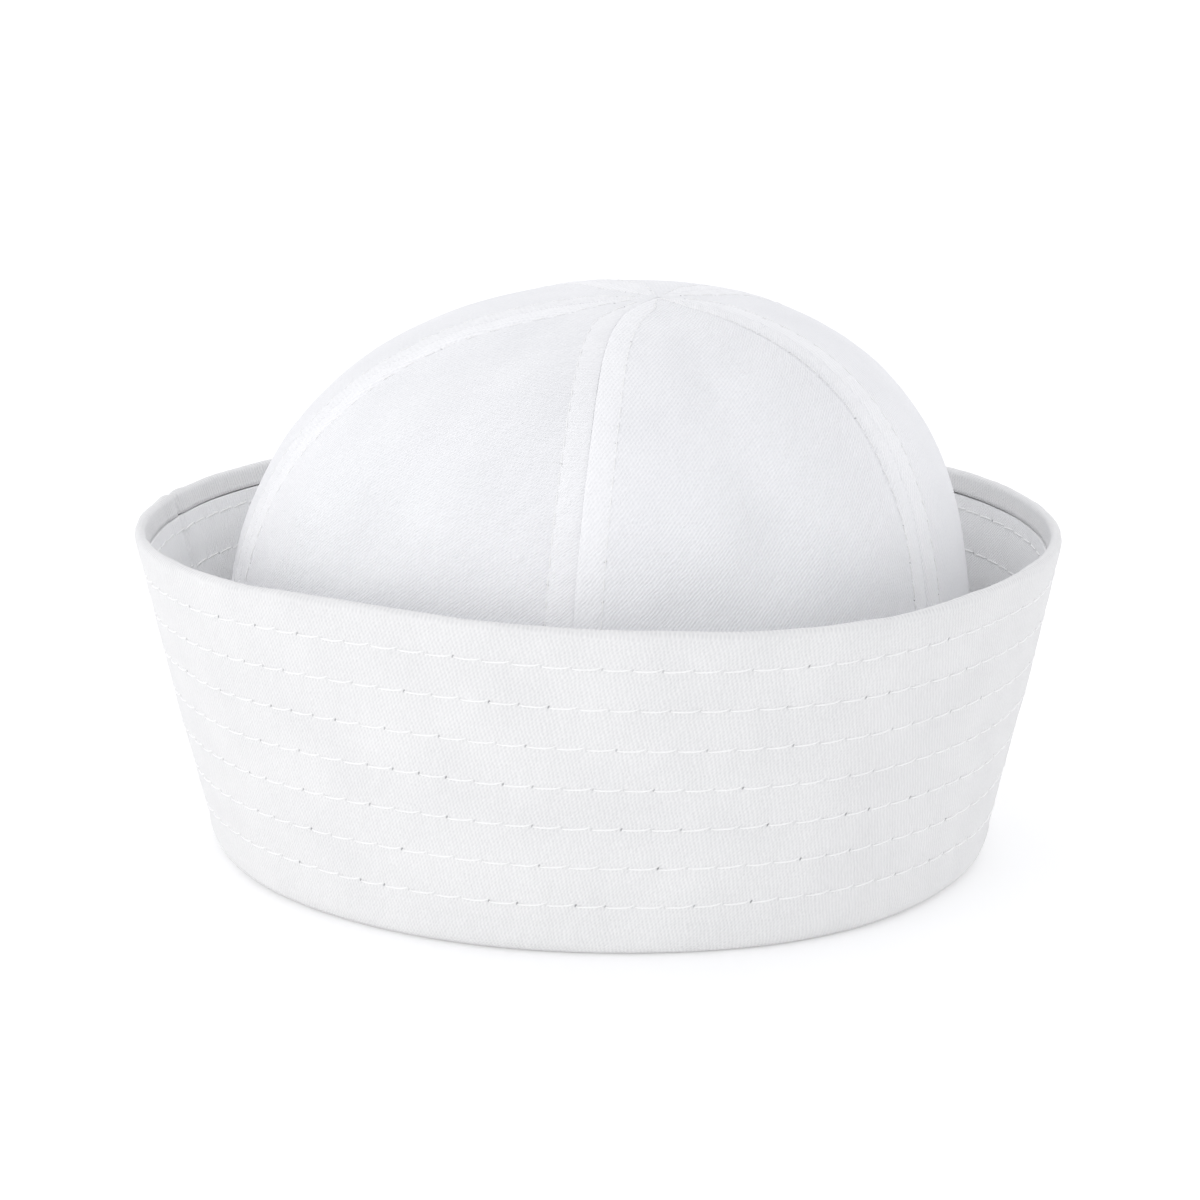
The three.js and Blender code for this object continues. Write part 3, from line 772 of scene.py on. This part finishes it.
for number, (gore, foot_seam, top_seam) in enumerate(SEAMS):
    _, next_foot, next_top = SEAMS[(number + 1) % len(SEAMS)]
    full_turn = 360 if next_foot < foot_seam else 0
    left_seam = foot_seam + (top_seam - foot_seam) * gore_rises ** SEAM_TURN
    right_seam = next_foot + (next_top - next_foot) * gore_rises ** SEAM_TURN + full_turn

    # Distances across the gore at each row, from its left seam to its right seam.
    sample = np.linspace(0, 1, 25)
    sample_angles = left_seam[:, None] + (right_seam - left_seam)[:, None] * sample
    sample_rises = np.tile(gore_rises[:, None], 25)
    sample_points = crown_point(sample_angles, sample_rises, np.tile(sample, (GORE_ROWS, 1)))
    widths = np.linalg.norm(np.diff(sample_points, axis=1), axis=2).sum(1)
    band = BAND_WIDTH + (BAND_TOP_WIDTH - BAND_WIDTH) * gore_rises ** 2
    band = np.minimum(band, 0.27 * widths)
    left_part = band[:, None] * BAND_PARTS
    middle_part = np.linspace(1.6 * band, widths - 1.6 * band, INNER_COLUMNS, axis=1)[:, 1:-1]
    from_left = np.concatenate([left_part, middle_part, (widths[:, None] - left_part)[:, ::-1]], 1)
    from_left = np.clip(from_left, 0.004, widths[:, None] - 0.004)
    across = from_left / widths[:, None]
    angles = left_seam[:, None] + (right_seam - left_seam)[:, None] * across
    outer = crown_point(angles, np.tile(gore_rises[:, None], across.shape[1]), across)
    normals = face_normals(outer, False)
    inner = outer - normals * CROWN_PLY

    # Relief: the seam's valley, its raised band, the topstitching, and soft uneven cloth.
    from_right = widths[:, None] - from_left
    from_seam = np.minimum(from_left, from_right)
    beside = from_seam - band[:, None]
    stitch_phase = gore_runs / TOP_STITCH + 0.3 * number
    from_hole = ((stitch_phase - np.round(stitch_phase)) * TOP_STITCH)[:, None]
    relief = BAND_RAISED / (1 + np.exp(beside / 0.8)) - SEAM_VALLEY * np.exp(-from_seam / 0.5)
    relief -= 0.07 * np.exp(-(beside / 0.9) ** 2)
    relief -= 0.20 * np.exp(-(beside / 0.7) ** 2 - (from_hole / 0.7) ** 2)
    pucker = soft_noise(outer * np.array([0.35, 0.35, 1]), 2.6, 21 + number)
    relief += 0.16 * pucker * np.exp(-((from_seam - 0.55 * band[:, None]) / 4.5) ** 2)
    relief += 0.45 * soft_noise(outer, 38, 5) + 0.20 * soft_noise(outer, 15, 6)
    relief += 0.07 * soft_noise(outer, 5, 7)

    # Folds beside some topstitching, and gathered cloth across a seam's band.
    for folded_gore, side, lowest, highest, depth in FOLDS:
        if folded_gore == gore:
            away = (from_left if side == "left" else from_right) - band[:, None]
            reach = np.clip((gore_rises - lowest) / 0.1, 0, 1) * np.clip((highest - gore_rises) / 0.1, 0, 1)
            fold_line = 0.5 * np.exp(-((away - 5) / 3.0) ** 2) - np.exp(-((away - 0.6) / 1.1) ** 2)
            relief += depth * reach[:, None] * fold_line
    for gathered_gore, side, lowest, highest, depth in GATHERS:
        if gathered_gore == gore:
            away = (from_left if side == "left" else from_right) - 0.5 * band[:, None]
            reach = np.exp(-((gore_rises - (lowest + highest) / 2) / ((highest - lowest) / 2)) ** 4)
            ripple = np.cos(2 * math.pi * gore_runs / 4.1) + 0.5 * np.cos(2 * math.pi * gore_runs / 2.7)
            relief += depth * (reach * ripple)[:, None] * np.exp(-(away / 2.4) ** 2)
    relief *= np.clip(gore_runs / 12, 0, 1)[:, None] * np.clip(widths / 8, 0, 1)[:, None]
    outer = outer + normals * relief[..., None]

    half = across.shape[1] // 2
    mapped_from_left = np.concatenate([from_left, from_left[:, ::-1]], 1)
    sewn = (outer[:, half, 2] > SEWN_FROM) & (widths > 5)

    def gore_cloth_map(r, c, flat=mapped_from_left, widths=widths):
        c = np.minimum(c, flat.shape[1] - 1)
        return np.stack([flat[r, c] - widths[r] / 2, gore_runs[r]], -1)

    def gore_stitch_map(face_row, r, c, flat=mapped_from_left, widths=widths, band=band, phase=stitch_phase,
                        sewn=sewn, columns=across.shape[1]):
        outside = c < columns
        c = np.minimum(c, flat.shape[1] - 1)
        from_seam = np.minimum(flat[r, c], widths[r] - flat[r, c])
        beside = np.where(outside & sewn[face_row], from_seam - band[r], FAR_FROM_STITCHES)
        return np.stack([phase[r] + 0 * beside, beside], -1)

    piece = cloth_piece("crown_gore_cloth_" + gore, np.concatenate([outer, inner[:, ::-1]], 1), False,
                        gore_cloth_map, gore_stitch_map, crown_twill)
    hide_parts("crown_gore_" + gore)
    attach(piece, "root")

    # The two rows of topstitching on this gore, for the next section to sew.
    first, last = np.flatnonzero(sewn)[[0, -1]]
    start = math.ceil(stitch_phase[first]) + 0.5
    stitch_count = math.floor(stitch_phase[last] - start) + 1
    middles = np.linspace(start, start + stitch_count - 1, 4 * stitch_count)
    for column in (11, across.shape[1] - 12):
        path = [np.interp(middles, stitch_phase, outer[:, column, axis]) for axis in range(3)]
        out = [np.interp(middles, stitch_phase, normals[:, column, axis]) for axis in range(3)]
        topstitch_rows.append((np.stack(path, -1), np.stack(out, -1), stitch_count))


# ---- Topstitching of the crown ----
# A row of small lockstitches in fine white thread along both sides of every seam.
crown_thread = thread_material("crown_thread", (0.95, 0.95, 0.945))
topstitch_settings = {"Stitch Length": 3.7 * MM, "Thread Radius": 0.15 * MM, "Lift": 0.12 * MM,
                      "Hook": 0.1 * MM, "Unevenness": 0.03, "Thread": crown_thread}
topstitching = sew("crown_topstitching", topstitch_rows, topstitch_settings)
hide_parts(*["crown_gore_" + seam[0] for seam in SEAMS])
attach(topstitching, "root")
